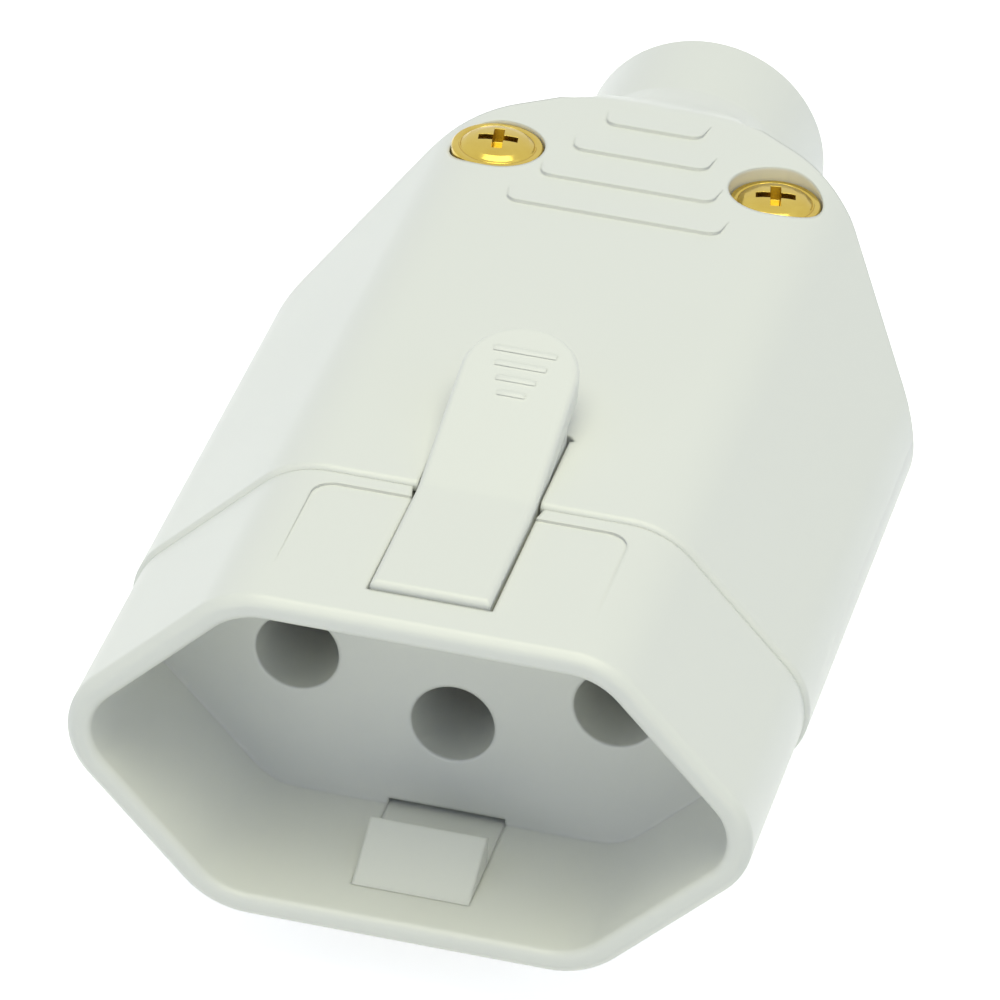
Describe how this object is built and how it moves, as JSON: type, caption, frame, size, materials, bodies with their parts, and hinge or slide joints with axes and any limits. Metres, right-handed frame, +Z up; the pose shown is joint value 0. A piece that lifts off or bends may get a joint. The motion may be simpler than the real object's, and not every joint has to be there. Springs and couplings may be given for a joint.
{
  "type": "inline socket connector",
  "caption": "Rewirable inline socket for a cable end: hexagonal recess, round pin contacts, rocking side latches, screwed cord clamp.",
  "frame": {"origin": "centre of the bounding box's base, under the lower finger pad", "axes": "+Y from the mouth to the cable neck, +Z up through the upper latch, +X to the right"},
  "size_m": [0.0406, 0.0798, 0.0303],
  "materials": {
    "white_plastic": "glossy moulded",
    "inner_plastic": "plain moulded",
    "brass": "bright",
    "steel": "zinc plated"
  },
  "bodies": {
    "shell": {"front_body": "white_plastic", "rear_housing": "white_plastic", "latch_pin_top": "steel", "latch_pin_bottom": "steel", "latch_spring_top": "steel", "latch_spring_bottom": "steel", "contact_live": "brass", "contact_neutral": "brass", "contact_earth": "brass", "terminal_live": "brass", "terminal_neutral": "brass", "terminal_earth": "brass", "terminal_screw_live": "steel", "terminal_screw_neutral": "steel", "terminal_screw_earth": "steel", "contact_cover": "inner_plastic", "cover_screw": "steel", "cord_clamp": "inner_plastic", "clamp_screw_left": "brass", "clamp_screw_right": "brass", "clamp_insert_left": "brass", "clamp_insert_right": "brass"},
    "upper_latch": {"latch_top": "white_plastic"},
    "lower_latch": {"latch_bottom": "white_plastic"}
  },
  "joints": [
    {"name": "upper_latch_rock", "type": "hinge", "parent": "shell", "child": "upper_latch", "pos_m": [0, -0.02395, 0.02376], "axis": [-1, 0, 0], "range_deg": [0, 9], "stiffness_Nm_per_rad": 0.15, "springref_deg": -11.46, "deforming": ["latch_spring_top"]},
    {"name": "lower_latch_rock", "type": "hinge", "parent": "shell", "child": "lower_latch", "pos_m": [0, -0.02395, 0.00656], "axis": [1, 0, 0], "range_deg": [0, 9], "stiffness_Nm_per_rad": 0.15, "springref_deg": -11.46, "deforming": ["latch_spring_bottom"]}
  ]
}
